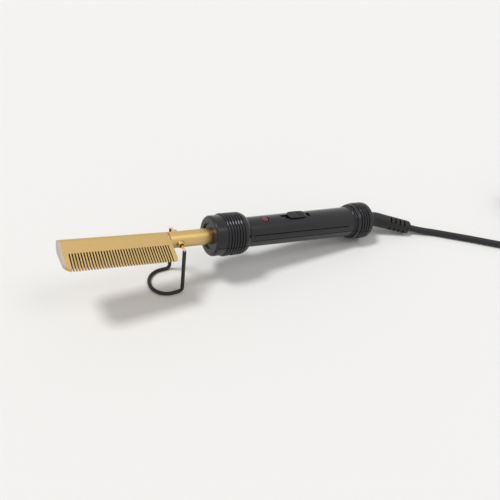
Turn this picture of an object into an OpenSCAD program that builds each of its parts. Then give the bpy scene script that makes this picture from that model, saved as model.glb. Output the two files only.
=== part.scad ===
// Electric hot comb: a slotted brass comb head on a heated neck tube, a handle
// moulded in two halves with ribbed collars, a slide switch with an indicator
// lamp, a swinging wire stand, and a mains cord put away in a coil.
//
// The tool's own axis runs from the free end of the comb, at x = 0, to the cord.
// The teeth point to -Y and the switch is on the +Z side. placed() tips the tool
// so that it stands on its wire stand and its rear collar, on the plane z = 0.

/* [Comb head] */
// Length of the comb head along the tool
comb_len = 81; // [74:1:90]
// Radius of the rounded spine, half the thickness of the comb head
spine_r = 5.6; // [5.2:0.1:6]
// Distance of the centre of the rounded spine from the tool's axis
spine_offset = 1.5; // [0.5:0.1:2]
// Distance of the tooth tips from the tool's axis
tooth_reach = 24; // [22:0.2:29]
// Radius of the rounded tooth tips
tooth_tip_r = 1.2; // [1:0.1:1.6]
// Number of slots between the teeth
slot_count = 37; // [20:1:38]
// Width of one slot
slot_w = 0.95; // [0.7:0.05:1.1]
// Distance of the closed ends of the slots from the tool's axis
slot_start = 9.6; // [9:0.2:13]
// Solid block left at the free end of the row of teeth
front_block = 4.9; // [4:0.1:8]
// Solid block left at the neck end of the row of teeth
rear_block = 3.5; // [3:0.1:6]
// Rounding of the corner at the free end
front_corner_r = 9; // [2:0.5:10]
// Rounding of the corner at the neck end
rear_corner_r = 2.5; // [1:0.5:3]
// Thickness of the cap on the free end
end_cap_t = 1.2; // [0.8:0.1:2]
// Angle by which the free end of the comb head rises
comb_lean = 2; // [0:0.1:2.5]

/* [Heating] */
// Radius of the heater cartridge
heater_r = 3.1; // [2.6:0.1:3.4]
// Length of the heater cartridge
heater_len = 62; // [40:1:66]
// Radius of an insulated heater lead
lead_r = 0.7; // [0.5:0.1:0.9]
// Distance of each heater lead from the tool's axis
lead_offset = 1.8; // [1.4:0.1:2]
// Radius of the thermal fuse
fuse_r = 1.6; // [1.2:0.1:1.8]
// Length of the thermal fuse
fuse_len = 11; // [8:1:14]

/* [Neck tube] */
// Outer radius of the neck tube
tube_r = 6.5; // [6.2:0.1:7]
// Wall of the neck tube
tube_wall = 0.8; // [0.6:0.1:1]
// Length of the neck tube that shows between comb and handle
neck_len = 34.8; // [30:0.2:50]
// Length of the spigot that joins the comb head to the neck tube
spigot_len = 4; // [3:0.5:5]

/* [Stand] */
// Distance of the stand's pivot behind the comb head
pivot_back = 8; // [7:0.5:12]
// Height of the neck tube's axis above the surface, at the stand's pivot
pivot_h = 44.5; // [38:0.5:50]
// Distance of the stand's pivot above the axis of the neck tube
pivot_rise = 0.7; // [0:0.1:2]
// Half the distance between the legs of the stand
stand_half_w = 14.1; // [13:0.1:18]
// Radius of the stand's wire
wire_r = 0.85; // [0.6:0.05:1]
// Radius of the sleeve on the stand's wire
sleeve_r = 1.5; // [1.2:0.1:1.8]
// Radius of the bends at the top of the legs
leg_bend_r = 1.2; // [1.2:0.1:3]
// Radius of the bends between the legs and the foot
foot_bend_r = 3.5; // [2:0.5:5]
// Straight stretch at each side of the foot
foot_straight = 4.5; // [2:0.5:10]
// Outer radius of a pivot boss
boss_r = 2.8; // [2.6:0.1:3.2]
// Height of a pivot boss above the neck tube
boss_h = 2; // [1.8:0.1:2.5]

/* [Handle] */
// Radius of the front collar's smooth flange
flange_r = 16.5; // [15.5:0.1:17.4]
// Length of the front collar's smooth flange
flange_len = 9.2; // [6:0.2:12]
// Radius of the front collar's ribs
rib_r = 17.6; // [17.5:0.1:19]
// Number of grooves after the flange
groove_count = 6; // [3:1:7]
// Distance from one groove to the next
groove_pitch = 2.52; // [2.2:0.02:2.8]
// Width of a groove
groove_w = 0.8; // [0.6:0.1:1.2]
// Depth of a groove
groove_d = 0.9; // [0.5:0.1:1.2]
// Length of the rounded shoulder behind the ribs
shoulder_len = 8.6; // [6:0.2:10]
// Radius of the grip at the front
grip_front_r = 12.5; // [12:0.1:13.5]
// Radius of the grip at the rear
grip_rear_r = 13.7; // [13:0.1:14.5]
// Length of the grip between the collars
grip_len = 111; // [105:1:125]
// Length of the rear collar
rear_collar_len = 19; // [18:0.5:22]
// Radius of the rear collar
rear_collar_r = 16.9; // [16:0.1:17.5]
// Number of grooves in the rear collar
rear_groove_count = 4; // [2:1:4]
// Wall of the two shells
shell_wall = 2; // [1.6:0.1:2.4]
// Radius of the round recess in the front of the collar
recess_r = 10.4; // [9:0.1:11]
// Depth of the round recess in the front of the collar
recess_d = 1.4; // [1:0.2:3]
// Height of the long grip line above the joint between the shells
grip_line_z = 4.9; // [3:0.1:7]

/* [Switch and lamp] */
// Distance of the lamp's lens from the front of the grip
lens_x = 16; // [14:0.5:18]
// Radius of the lamp's lens
lens_r = 2.9; // [2:0.1:3]
// Distance of the middle of the switch's slot from the front of the grip
switch_x = 47.2; // [44:0.2:52]
// Length of the switch's slot
switch_slot_len = 30; // [29:0.5:33]
// Width of the switch's slot
switch_slot_w = 5; // [4.8:0.2:6]
// Length of the thumb piece
thumb_len = 19; // [18:0.2:22]
// Width of the thumb piece
thumb_w = 8.2; // [7.6:0.2:9]
// Height of the thumb piece above the grip
thumb_h = 1.6; // [1.4:0.1:2.4]
// Travel of the thumb piece from off to on
switch_travel = 4.5; // [3:0.1:5]

/* [Circuit board] */
// Length of the circuit board
board_len = 60; // [58:1:64]
// Width of the circuit board
board_w = 16; // [14:0.5:17]
// Thickness of the circuit board
board_t = 1.6; // [1:0.1:2]
// Depth of the board's upper face below the tool's axis
board_depth = 2; // [1.8:0.1:2.6]

/* [Cord] */
// Radius of the mains cord
cord_r = 3.15; // [2.8:0.05:3.3]
// Radius of the strain relief where it leaves the handle
boot_r = 7; // [6.6:0.1:8]
// Radius of the strain relief at its thin end
boot_end_r = 6.3; // [5.6:0.1:6.5]
// Length of the tapered part of the strain relief
boot_taper_len = 33; // [30:1:40]
// Number of windows in each row along the strain relief
boot_window_count = 4; // [2:1:5]
// Number of turns in the lower layer of the coil
coil_lower_turns = 4; // [2:1:4]
// Radius of the smallest turn of the coil
coil_first_r = 27.4; // [26:0.1:28]

/* [Plug] */
// Radius of a plug pin
pin_r = 2; // [2:0.05:2.4]
// Length of a plug pin outside the plug
pin_len = 19; // [18:0.5:20]
// Distance between the plug pins
pin_spacing = 18.6; // [17.5:0.1:19]
// Width of the plug body
plug_w = 35; // [30:0.5:36]
// Thickness of the plug body
plug_t = 13.6; // [12:0.2:15]
// Length of the plug body
plug_len = 22; // [18:0.5:30]

/* [Fits] */
// Radial clearance of a part that turns or slides in another
running_fit = 0.05; // [0.02:0.01:0.1]
// Clearance between parts that are seated on each other
seat_fit = 0.05; // [0.02:0.01:0.2]
// Clearance around parts that stay loose
loose_fit = 0.3; // [0.2:0.05:0.4]

/* [Hidden] */
$fn = 64;

// stations along the tool
bore_r = heater_r + running_fit;
tube_inner_r = tube_r - tube_wall;
face_x = comb_len + neck_len;
ribs_x = face_x + flange_len;
ribs_end = ribs_x + groove_count * groove_pitch + groove_w;
grip_x = ribs_end + shoulder_len;
collar_x = grip_x + grip_len;
rear_x = collar_x + rear_collar_len;
web_t = 3;
bush_x = face_x + recess_d + web_t;
bush_len = 17.4;
ring_t = 4;
pocket_r = 11;
flare_r = 1;
flare_x = collar_x - 2.5;
dome_len = 9;
dome_drop = 1.5;
rear_groove_d = groove_d + 0.1;
joint_line_w = 0.6;
joint_line_d = 0.7;
pocket_end = bush_x + bush_len + ring_t + 3 * seat_fit;
tube_end = pocket_end + web_t + 3;
fuse_x = comb_len + pivot_back + 10;
boot_wall = 4;

// standing pose: the rear edge of the rear collar and the foot touch the surface
rear_edge_x = rear_x - 1.5;
pivot_x = comb_len + pivot_back;
stand_base = rear_edge_x - pivot_x;
tilt = asin(pivot_h / norm([stand_base, rear_collar_r])) - atan2(rear_collar_r, stand_base);
lift = rear_edge_x * sin(tilt) + rear_collar_r * cos(tilt);

// strain relief: straight root, bend, then the tapered part
boot_neck = 9;
boot_bend_r = 25;
boot_bend = 24;
boot_roll = 10;
boot_step = 0.15;
boot_side = boot_bend_r * (1 - cos(boot_bend)) + boot_taper_len * sin(boot_bend);
boot_end = [rear_x + boot_neck + boot_bend_r * sin(boot_bend) + boot_taper_len * cos(boot_bend),
    -boot_side * cos(boot_roll), -boot_side * sin(boot_roll)];
boot_dir = [cos(boot_bend), -sin(boot_bend) * cos(boot_roll), -sin(boot_bend) * sin(boot_roll)];

// the origin is under the middle of the box round the tool, without its cord
boot_tip_x = turn_y(boot_end)[0] + boot_end_r * sqrt(1 - pow(turn_y(boot_dir)[0], 2));
origin_x = (boot_tip_x - spine_r * sin(tilt)) / 2;
origin_y = (rib_r - tooth_reach) / 2;

// electronics
board_x = grip_x + 4;
board_top = -board_depth;
shell_inner_r = grip_front_r - shell_wall;
lens_at = grip_x + lens_x;
switch_at = grip_x + switch_x;
thumb_at = switch_at + 0.9;
thumb_foot = grip_at(thumb_at + thumb_len / 2) + loose_fit;
recess_floor = shell_inner_r + 1;
stem_len = 6;
stem_w = 4;
lever_w = 2.6;
housing_len = 15;
housing_w = 8;
housing_h = 6;
housing_top = board_top + housing_h;
thumb_top = grip_at(thumb_at) + thumb_h;
led_top = board_top + 5.4;
terminal_len = 6;
terminal_wall = 2.4;
terminal_h = 5;
board_screw_x = [board_x + 16, board_x + board_len - 6.5];
clamp_x = collar_x - 8;
clamp_screw_y = cord_r + 3;
clamp_w = 6;
clamp_t = 1.8;
tail_x = clamp_x - 8;
supply_lead_r = 0.9;
supply_lead_y = 1.5;

// screws: shell screws at each side of both collars, small ones for board and clamp
screw_r = 1.2;
screw_head_r = 2.2;
screw_head_h = 1.8;
screw_head_z = -7;
screw_y = 13;
front_screw_x = face_x + 16;
rear_screw_x = collar_x + 9;
small_screw_r = 0.9;
small_screw_len = 5;
small_head_r = 1.9;
small_head_h = 1.4;
small_post_r = 2.6;

// route of the cord: out of the strain relief, over the surface to the coil, and
// from the top of the coil to the plug, which lies on the coil
cord_start = on_surface(boot_end) - 8 * turn_y(boot_dir);
cord_out = on_surface(boot_end) + 5 * turn_y(boot_dir);
to_coil = [[175, -18.6, 4.1], [187, -24.8, 3.2], [201, -34.3, 3.2], [215, -43.8, 3.2], [229, -53.8, 3.2],
    [243, -63.8, 3.2], [258, -73.6, 3.2], [273.5, -83.3, 3.2], [289.5, -93, 3.2], [306.4, -102.7, 3.2]];
to_plug = [[351.6, -100.2, 8.7], [360.5, -93.3, 9.8], [367.5, -84.5, 11.8], [372, -74.1, 13.9],
    [373.5, -62.8, 14.9], [373, -53, 15.2], [371, -42.8, 15.8], [365.4, -34.2, 16.8], [357, -28.3, 17.8]];
coil_at = [330, -62.8, 0];
coil_inner_r = coil_first_r - cord_r;
coil_outer_r = coil_first_r + (2 * coil_lower_turns - 1) * cord_r;
coil_top = 2 * cord_r + 5.5;
tie_w = 14;
tie_t = 0.8;
plug_at = [333, -26, coil_top + plug_t / 2];
plug_neck = 12;
plug_grip = 4;
pin_root_r = pin_r - 0.4;
pin_root_len = 8;

function turn_y(p) = [p[0] * cos(tilt) + p[2] * sin(tilt), p[1], p[2] * cos(tilt) - p[0] * sin(tilt)];
function on_surface(p) = turn_y(p) + [-origin_x, -origin_y, lift];
function grip_at(x) = grip_front_r + (grip_rear_r - grip_front_r) * (x - grip_x) / grip_len;
function arc(centre, r, from, to, steps) =
    [for (i = [0:steps]) let (a = from + (to - from) * i / steps) centre + r * [cos(a), sin(a)]];

// stands the tool on the surface
module placed() {
    translate([-origin_x, -origin_y, lift])
        rotate([0, tilt, 0])
            children();
}

// a solid turned about the tool's axis from points of [radius, place along the tool]
module turned(points) {
    rotate([0, 90, 0])
        rotate_extrude($fn = 96)
            polygon(points);
}

// a round bar along the tool
module bar(r, from, to, y = 0, z = 0) {
    translate([from, y, z])
        rotate([0, 90, 0])
            cylinder(r = r, h = to - from);
}

// an upright block with round ends, long side along the tool
module slot_block(len, w, from, to) {
    translate([0, 0, from])
        linear_extrude(to - from) {
            square([len - w, w], center = true);
            for (side = [-1, 1])
                translate([side * (len - w) / 2, 0])
                    circle(d = w);
        }
}

// an upright block with rounded corners, long side along the tool
module block(len, w, corner_r, from, to) {
    translate([0, 0, from])
        linear_extrude(to - from) {
            square([len, w - 2 * corner_r], center = true);
            square([len - 2 * corner_r, w], center = true);
            for (x = [-1, 1], y = [-1, 1])
                translate([x * (len / 2 - corner_r), y * (w / 2 - corner_r)])
                    circle(r = corner_r);
        }
}

// the comb's own frame leans about the point where it meets the neck tube
module leaned() {
    translate([comb_len, 0, 0])
        rotate([0, 0, -comb_lean])
            translate([-comb_len, 0, 0])
                children();
}

// cross-section of the comb: round spine, round tooth tips, and flat flanks that
// cut a little into both rounds
module comb_section() {
    tip_y = tooth_tip_r - tooth_reach;
    flank = asin((spine_r - tooth_tip_r) / (spine_offset - tip_y));
    cut_in = 0.04;
    side = [for (s = [[spine_offset, spine_r - cut_in], [tip_y, tooth_tip_r - cut_in]])
        [s[0] - s[1] * sin(flank), s[1] * cos(flank)]];
    translate([spine_offset, 0])
        circle(r = spine_r);
    translate([tip_y, 0])
        circle(r = tooth_tip_r, $fn = 32);
    polygon([side[0], side[1], [side[1][0], -side[1][1]], [side[0][0], -side[0][1]]]);
}

// solid stretch of the comb between two places along the tool
module comb_stretch(from, to) {
    intersection() {
        translate([from, 0, 0])
            rotate([90, 0, 90])
                linear_extrude(to - from)
                    comb_section();
        translate([0, 0, -spine_r - 1])
            linear_extrude(2 * spine_r + 2)
                comb_plan();
    }
}

// outline of the comb seen from above, with its two rounded corners. Its lower edge
// lies just past the tooth tips, which have their own rounding.
module comb_plan() {
    top = spine_offset + spine_r + 1;
    low = -tooth_reach - 0.3;
    translate([0, low + front_corner_r])
        square([comb_len - rear_corner_r, top - low - front_corner_r]);
    translate([comb_len - rear_corner_r - 1, low + rear_corner_r])
        square([rear_corner_r + 1, top - low - rear_corner_r]);
    translate([front_corner_r, low])
        square([comb_len - front_corner_r - rear_corner_r, front_corner_r + 1]);
    translate([front_corner_r, low + front_corner_r])
        circle(r = front_corner_r);
    translate([comb_len - rear_corner_r, low + rear_corner_r])
        circle(r = rear_corner_r);
}

// one slot with a flared mouth, so that the teeth end in rounded points
module comb_slot() {
    flare = slot_w / 2 + 0.3;
    mouth = tooth_reach - 0.9;
    translate([0, 0, -spine_r - 1])
        linear_extrude(2 * spine_r + 2)
            polygon([[-slot_w / 2, -slot_start], [slot_w / 2, -slot_start], [slot_w / 2, -mouth],
                [flare, -tooth_reach - 1], [-flare, -tooth_reach - 1], [-slot_w / 2, -mouth]]);
}

module comb_head() {
    pitch = (comb_len - front_block - rear_block - slot_w) / (slot_count - 1);
    color("goldenrod")
        placed() {
            difference() {
                union() {
                    difference() {
                        leaned()
                            comb_stretch(end_cap_t, comb_len);
                        translate([comb_len, -2 * spine_r, -2 * spine_r])
                            cube([spine_r, 4 * spine_r, 4 * spine_r]);
                    }
                    bar(tube_inner_r - seat_fit, comb_len - 2, comb_len + spigot_len);
                }
                leaned() {
                    bar(bore_r, -1, comb_len + spigot_len + 2);
                    for (i = [0:slot_count - 1])
                        translate([front_block + slot_w / 2 + i * pitch, 0, 0])
                            comb_slot();
                }
            }
        }
}

// plate that closes the heater bore at the free end
module comb_end_cap() {
    color("silver")
        placed()
            leaned()
                comb_stretch(0, end_cap_t);
}

module heater_cartridge() {
    color("lightgray")
        placed()
            leaned()
                bar(heater_r, end_cap_t + 1, end_cap_t + 1 + heater_len);
}

// both leads, one of them broken by the thermal fuse
module heater_leads() {
    lead_start = end_cap_t + 1 + heater_len + seat_fit + 0.2;
    color("white")
        placed() {
            for (side = [-1, 1]) {
                leaned()
                    bar(lead_r, lead_start, comb_len, side * lead_offset);
                translate([comb_len, side * lead_offset, 0])
                    sphere(r = lead_r + 0.05);
            }
            bar(lead_r, comb_len, board_x + 2, -lead_offset);
            bar(lead_r, comb_len, fuse_x, lead_offset);
            bar(lead_r, fuse_x + fuse_len, board_x + 2, lead_offset);
        }
}

module thermal_fuse() {
    color("white")
        placed()
            bar(fuse_r, fuse_x, fuse_x + fuse_len, lead_offset);
}

module neck_tube() {
    color("goldenrod")
        placed()
            difference() {
                bar(tube_r, comb_len, tube_end);
                bar(tube_inner_r, comb_len - 1, tube_end + 1);
                translate([pivot_x, 0, pivot_rise])
                    rotate([90, 0, 0])
                        cylinder(r = wire_r + loose_fit, h = 2 * tube_r + 2, center = true);
            }
}

// two raised rings on the tube that carry the ends of the stand's wire
module pivot_bosses() {
    edge = 0.5;
    sink_r = wire_r + 0.8;
    sink_d = 0.9;
    color("goldenrod")
        placed()
            difference() {
                for (side = [-90, 90])
                    translate([pivot_x, 0, pivot_rise])
                        rotate([side, 0, 0])
                            rotate_extrude()
                                polygon(concat([[wire_r + running_fit, tube_r - 2], [boss_r, tube_r - 2]],
                                    arc([boss_r - edge, tube_r + boss_h - edge], edge, 0, 90, 5),
                                    [[sink_r, tube_r + boss_h], [sink_r - 0.1, tube_r + boss_h - sink_d],
                                    [wire_r + running_fit, tube_r + boss_h - sink_d]]));
                bar(tube_r, comb_len, tube_end);
            }
}

// path of the stand from one leg to the other, from its pivot
module stand_path(r, leg_top, bend_top) {
    drop = pivot_h + pivot_rise * cos(tilt) - sleeve_r;
    inner_end = 0.6;
    for (side = [0, 1])
        mirror([0, side, 0]) {
            if (bend_top) {
                translate([0, tube_inner_r - inner_end, 0])
                    rotate([-90, 0, 0])
                        cylinder(r = r, h = stand_half_w - leg_bend_r - tube_inner_r + inner_end);
                translate([0, stand_half_w - leg_bend_r, -leg_bend_r])
                    rotate([90, 0, 90])
                        rotate_extrude(angle = 90)
                            translate([leg_bend_r, 0])
                                circle(r = r);
            }
            translate([0, stand_half_w, foot_bend_r - drop])
                cylinder(r = r, h = drop - foot_bend_r - leg_top);
            translate([-foot_bend_r, stand_half_w, foot_bend_r - drop])
                rotate([-90, 0, 0])
                    rotate_extrude(angle = 90)
                        translate([foot_bend_r, 0])
                            circle(r = r);
            translate([-foot_bend_r, stand_half_w, -drop])
                rotate([0, -90, 0])
                    cylinder(r = r, h = foot_straight);
        }
    translate([-foot_bend_r - foot_straight, 0, -drop])
        rotate([0, 0, 90])
            rotate_extrude(angle = 180)
                translate([stand_half_w, 0])
                    circle(r = r);
}

module at_pivot() {
    translate(on_surface([pivot_x, 0, pivot_rise]))
        children();
}

module stand_wire() {
    color("goldenrod")
        at_pivot()
            stand_path(wire_r, leg_bend_r, true);
}

module stand_sleeve() {
    color("black")
        at_pivot()
            difference() {
                stand_path(sleeve_r, leg_bend_r + 0.05, false);
                stand_path(wire_r + running_fit, leg_bend_r, false);
            }
}

// insulating bush between the hot neck tube and the collar
module heat_bush() {
    color("saddlebrown")
        placed()
            difference() {
                bar(pocket_r - seat_fit, bush_x + seat_fit, bush_x + bush_len);
                bar(tube_r + seat_fit, bush_x - 1, bush_x + bush_len + 1);
            }
}

// steel ring on the neck tube, trapped behind the bush
module tube_ring() {
    from = bush_x + bush_len + seat_fit;
    color("silver")
        placed()
            difference() {
                bar(pocket_r - 1.4, from, from + ring_t);
                bar(tube_r, from - 1, from + ring_t + 1);
            }
}

// outside of both shells: flange, ribs, shoulder, grip and rear collar
module handle_outside() {
    rim = 2;
    shoulder_h = rib_r - grip_front_r;
    bead_r = 0.5;
    rear_rim = 1.6;
    turned(concat(
        [[0, face_x], [flange_r - rim, face_x]],
        arc([flange_r - rim, face_x + rim], rim, -90, 0, 6),
        [[flange_r, ribs_x]],
        [for (i = [0:groove_count - 1]) let (x = ribs_x + i * groove_pitch)
            each rib_points(rib_r, x, groove_w, groove_pitch)],
        [[rib_r - groove_d, ribs_end - groove_w], [rib_r - groove_d, ribs_end],
            [rib_r - 0.4, ribs_end], [rib_r - 0.1, ribs_end + 0.3], [rib_r, ribs_end + 0.6]],
        [for (i = [1:8]) let (a = i * 90 / 8)
            [grip_front_r + shoulder_h * cos(a), ribs_end + (shoulder_len - 1.6) * sin(a)]],
        arc([grip_front_r, grip_x - 0.8], bead_r, -90, 90, 6),
        [[grip_front_r, grip_x], [grip_rear_r, flare_x]],
        arc([grip_rear_r + flare_r, flare_x], flare_r, 180, 100, 5),
        rear_bead(),
        [for (i = [0:rear_groove_count - 1])
            each rear_groove(collar_x + 4.4 + i * (groove_pitch + 0.28))],
        arc([rear_collar_r - rear_rim, rear_x - rear_rim], rear_rim, 0, 90, 6),
        [[0, rear_x]]));
}

// one groove and the rib behind it
function rib_points(r, x, w, pitch) =
    [[r - groove_d, x], [r - groove_d, x + w], [r - 0.25, x + w + 0.15], [r, x + w + 0.5],
        [r, x + pitch - 0.35], [r - 0.25, x + pitch - 0.05]];

// domed outline of the rear collar, without its grooves
function dome_at(x) = rear_collar_r - dome_drop * pow(max(0, 1 - (x - collar_x) / dome_len), 2);

// small bead at the front of the rear collar, and the wide groove behind it
function rear_bead() = [[dome_at(collar_x - 1.4), collar_x - 1.4], [dome_at(collar_x - 1) - 0.1, collar_x - 1],
    [dome_at(collar_x) - 0.9, collar_x - 0.9], [dome_at(collar_x) - 1.1, collar_x],
    [dome_at(collar_x) - 0.9, collar_x + 1.1], [dome_at(collar_x + 1.2) - 0.4, collar_x + 1.2],
    [dome_at(collar_x + 1.7), collar_x + 1.7], [dome_at(collar_x + 3.2), collar_x + 3.2]];

// one narrow groove of the rear collar, with rounded edges
function rear_groove(x) = [[dome_at(x - 0.4), x - 0.4], [dome_at(x) - 0.25, x],
    [dome_at(x) - rear_groove_d, x + 0.1], [dome_at(x) - rear_groove_d, x + 0.9],
    [dome_at(x + 1) - 0.25, x + 1], [dome_at(x + 1.4), x + 1.4]];

// everything that is hollow inside the shells, and the holes through both
module handle_inside() {
    turned([[0, face_x - 1], [recess_r + 0.8, face_x - 1], [recess_r + 0.8, face_x],
        [recess_r, face_x + 0.8], [recess_r, face_x + recess_d],
        [tube_r + loose_fit, face_x + recess_d], [tube_r + loose_fit, bush_x],
        [pocket_r, bush_x], [pocket_r, pocket_end],
        [tube_r + loose_fit, pocket_end], [tube_r + loose_fit, pocket_end + web_t],
        [shell_inner_r, pocket_end + web_t], [shell_inner_r, grip_x],
        [grip_rear_r - shell_wall, collar_x], [pocket_r, collar_x + 1],
        [pocket_r, rear_x - boot_wall], [boot_r + seat_fit, rear_x - boot_wall],
        [boot_r + seat_fit, rear_x + 1], [0, rear_x + 1]]);
}

module half_space(side) {
    translate([0, -2 * rib_r, side > 0 ? 0 : -2 * rib_r])
        cube([rear_x + rib_r, 4 * rib_r, 2 * rib_r]);
}

module at_screws() {
    for (x = [front_screw_x, rear_screw_x])
        for (side = [-1, 1])
            translate([x, side * screw_y, 0])
                children();
}

// long shallow lines moulded along the grip, and the small notches they start from
module grip_lines() {
    line_w = 0.7;
    deep = 0.7;
    for (side = [-1, 1])
        mirror([0, side > 0 ? 0 : 1, 0]) {
            line_y = sqrt(pow(grip_front_r, 2) - pow(grip_line_z, 2)) - deep;
            translate([grip_x + 1.5, line_y, grip_line_z - line_w / 2])
                rotate([0, 0, atan2(grip_rear_r - grip_front_r, grip_len)])
                    cube([grip_len - 10, 4, line_w]);
            translate([ribs_end + shoulder_len - 5.4, line_y + 0.4, grip_line_z + 1.4])
                cube([2.8, 6, 2.2]);
        }
}

// shadow line along the joint between the shells, all round the outside
module joint_line() {
    difference() {
        translate([face_x - 1, -2 * rib_r, -joint_line_w])
            cube([rear_x - face_x + 2, 4 * rib_r, joint_line_w + 1]);
        turned([[0, face_x - 2], [flange_r - joint_line_d, face_x - 2],
            [flange_r - joint_line_d, ribs_end], [grip_front_r - joint_line_d, grip_x],
            [grip_rear_r - joint_line_d, flare_x], [dome_at(collar_x) - 1.1 - joint_line_d, collar_x],
            [rear_collar_r - rear_groove_d - joint_line_d, collar_x + dome_len],
            [rear_collar_r - rear_groove_d - joint_line_d, rear_x + 2], [0, rear_x + 2]]);
    }
}

module upper_shell() {
    color("dimgray")
        placed()
            difference() {
                intersection() {
                    handle_outside();
                    half_space(1);
                }
                handle_inside();
                grip_lines();
                at_screws()
                    translate([0, 0, -1])
                        cylinder(r = screw_r + seat_fit, h = 8);
                translate([lens_at, 0, 0])
                    cylinder(r = lens_r + seat_fit, h = 20);
                translate([lens_at, 0, recess_floor])
                    cylinder(r = lens_r + 0.7, h = 20);
                translate([switch_at - switch_slot_len / 2, -switch_slot_w / 2, recess_floor])
                    cube([switch_slot_len, switch_slot_w, 20]);
                translate([thumb_at - switch_travel / 2, 0, 0])
                    slot_block(switch_travel + stem_len + stem_w, stem_w + 2 * loose_fit, 0, 20);
            }
}

module lower_shell() {
    color("dimgray")
        placed()
            difference() {
                union() {
                    difference() {
                        intersection() {
                            handle_outside();
                            half_space(-1);
                        }
                        handle_inside();
                        joint_line();
                    }
                    intersection() {
                        turned([[0, grip_x], [shell_inner_r + 0.6, grip_x],
                            [grip_rear_r - shell_wall + 0.6, collar_x], [0, collar_x]]);
                        lower_posts();
                    }
                }
                at_screws()
                    translate([0, 0, -rib_r]) {
                        cylinder(r = screw_r + loose_fit, h = rib_r + 1);
                        cylinder(r = screw_head_r + loose_fit, h = rib_r + screw_head_z);
                    }
                for (x = board_screw_x)
                    translate([x, 0, board_top - board_t - 5])
                        cylinder(r = small_screw_r + seat_fit, h = small_screw_len + 2);
                for (side = [-1, 1])
                    translate([clamp_x, side * clamp_screw_y, -5])
                        cylinder(r = small_screw_r + seat_fit, h = 10);
            }
}

// posts under the board, and the saddle and posts of the cord clamp
module lower_posts() {
    for (x = board_screw_x)
        translate([x, 0, -15])
            cylinder(r = small_post_r, h = 15 + board_top - board_t - seat_fit);
    for (side = [-1, 1])
        translate([clamp_x, side * clamp_screw_y, -15])
            cylinder(r = small_post_r, h = 15 + cord_r);
    translate([clamp_x - 2, -clamp_screw_y, -15])
        cube([4, 2 * clamp_screw_y, 15 - cord_r - seat_fit]);
}

// four screws that hold the shells together
module shell_screws() {
    color("silver")
        placed()
            at_screws() {
                translate([0, 0, screw_head_z - 0.5])
                    cylinder(r = screw_r, h = 13);
                translate([0, 0, screw_head_z - screw_head_h - seat_fit])
                    difference() {
                        cylinder(r = screw_head_r, h = screw_head_h);
                        cross_recess();
                    }
            }
}

module cross_recess() {
    for (turn = [0, 90])
        rotate([0, 0, turn])
            translate([-1.2, -0.25, -1])
                cube([2.4, 0.5, 1.8]);
}

module indicator_lens() {
    flange_top = sqrt(pow(shell_inner_r, 2) - pow(lens_r + 0.9, 2)) - seat_fit;
    dome = 0.9;
    dome_base = grip_at(lens_at) - 0.3;
    ball_r = (pow(lens_r, 2) + pow(dome, 2)) / (2 * dome);
    color("crimson")
        placed()
            translate([lens_at, 0, 0])
                rotate_extrude()
                    polygon(concat([[0, led_top + loose_fit], [1.8, led_top + loose_fit],
                        [1.8, flange_top - 1], [lens_r + 0.9, flange_top - 1], [lens_r + 0.9, flange_top],
                        [lens_r, flange_top]],
                        arc([0, dome_base + dome - ball_r], ball_r, asin((ball_r - dome) / ball_r), 90, 10)));
}

module indicator_led() {
    color("salmon")
        placed()
            translate([lens_at, 0, board_top]) {
                cylinder(r = 1.9, h = 1);
                cylinder(r = 1.5, h = led_top - board_top - 1.5);
                translate([0, 0, led_top - board_top - 1.5])
                    intersection() {
                        sphere(r = 1.5);
                        cylinder(r = 1.5, h = 1.5);
                    }
            }
}

module led_resistor() {
    color("tan")
        placed()
            translate([lens_at + 13, 0, board_top + 1.1])
                rotate([90, 0, 0])
                    cylinder(r = 1.1, h = 6, center = true);
}

module circuit_board() {
    color("darkgreen")
        placed()
            difference() {
                translate([board_x, -board_w / 2, board_top - board_t])
                    cube([board_len, board_w, board_t]);
                for (x = board_screw_x)
                    translate([x, 0, board_top - board_t - 1])
                        cylinder(r = small_screw_r + loose_fit, h = board_t + 2);
            }
}

// block on the board that takes the heater leads
module lead_terminal() {
    color("steelblue")
        placed()
            difference() {
                translate([board_x + 1, -lead_offset - terminal_wall, board_top])
                    cube([terminal_len, 2 * (lead_offset + terminal_wall), terminal_h]);
                for (side = [-1, 1])
                    bar(lead_r + seat_fit, board_x, board_x + 2, side * lead_offset);
            }
}

module board_screws() {
    color("silver")
        placed()
            for (x = board_screw_x)
                translate([x, 0, board_top])
                    difference() {
                        union() {
                            cylinder(r = small_head_r, h = small_head_h);
                            translate([0, 0, -small_screw_len])
                                cylinder(r = small_screw_r, h = small_screw_len);
                        }
                        translate([0, 0, small_head_h - 0.2])
                            mirror([0, 0, 1])
                                cross_recess();
                    }
}

// thumb piece with a crowned top, grooves across it and a fork over the lever
module switch_thumb() {
    crown_r = 80;
    color("black")
        placed()
            translate([thumb_at, 0, 0])
                difference() {
                    union() {
                        intersection() {
                            block(thumb_len, thumb_w, thumb_w / 2 - 0.6, thumb_foot, thumb_top);
                            translate([0, 0, thumb_top - crown_r])
                                sphere(r = crown_r, $fn = 96);
                        }
                        translate([-stem_len / 2, -stem_w / 2, housing_top + 1])
                            cube([stem_len, stem_w, thumb_foot - housing_top - 0.5]);
                    }
                    translate([-lever_w / 2 - seat_fit, -3, housing_top])
                        cube([lever_w + 2 * seat_fit, 6, 4.5]);
                    for (i = [0:4])
                        translate([0.4 + i * 1.6, 0.7 - thumb_w / 2, thumb_top - 0.55])
                            cube([0.7, thumb_w - 1.4, 1]);
                }
}

// sliding lever of the switch, held by the fork of the thumb piece
module switch_lever() {
    color("white")
        placed()
            translate([thumb_at, 0, 0]) {
                translate([-lever_w / 2, -lever_w / 2, housing_top - 1])
                    cube([lever_w, lever_w, 5]);
                translate([-3, -2.4, housing_top - 3])
                    cube([6, 4.8, 2]);
            }
}

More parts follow.
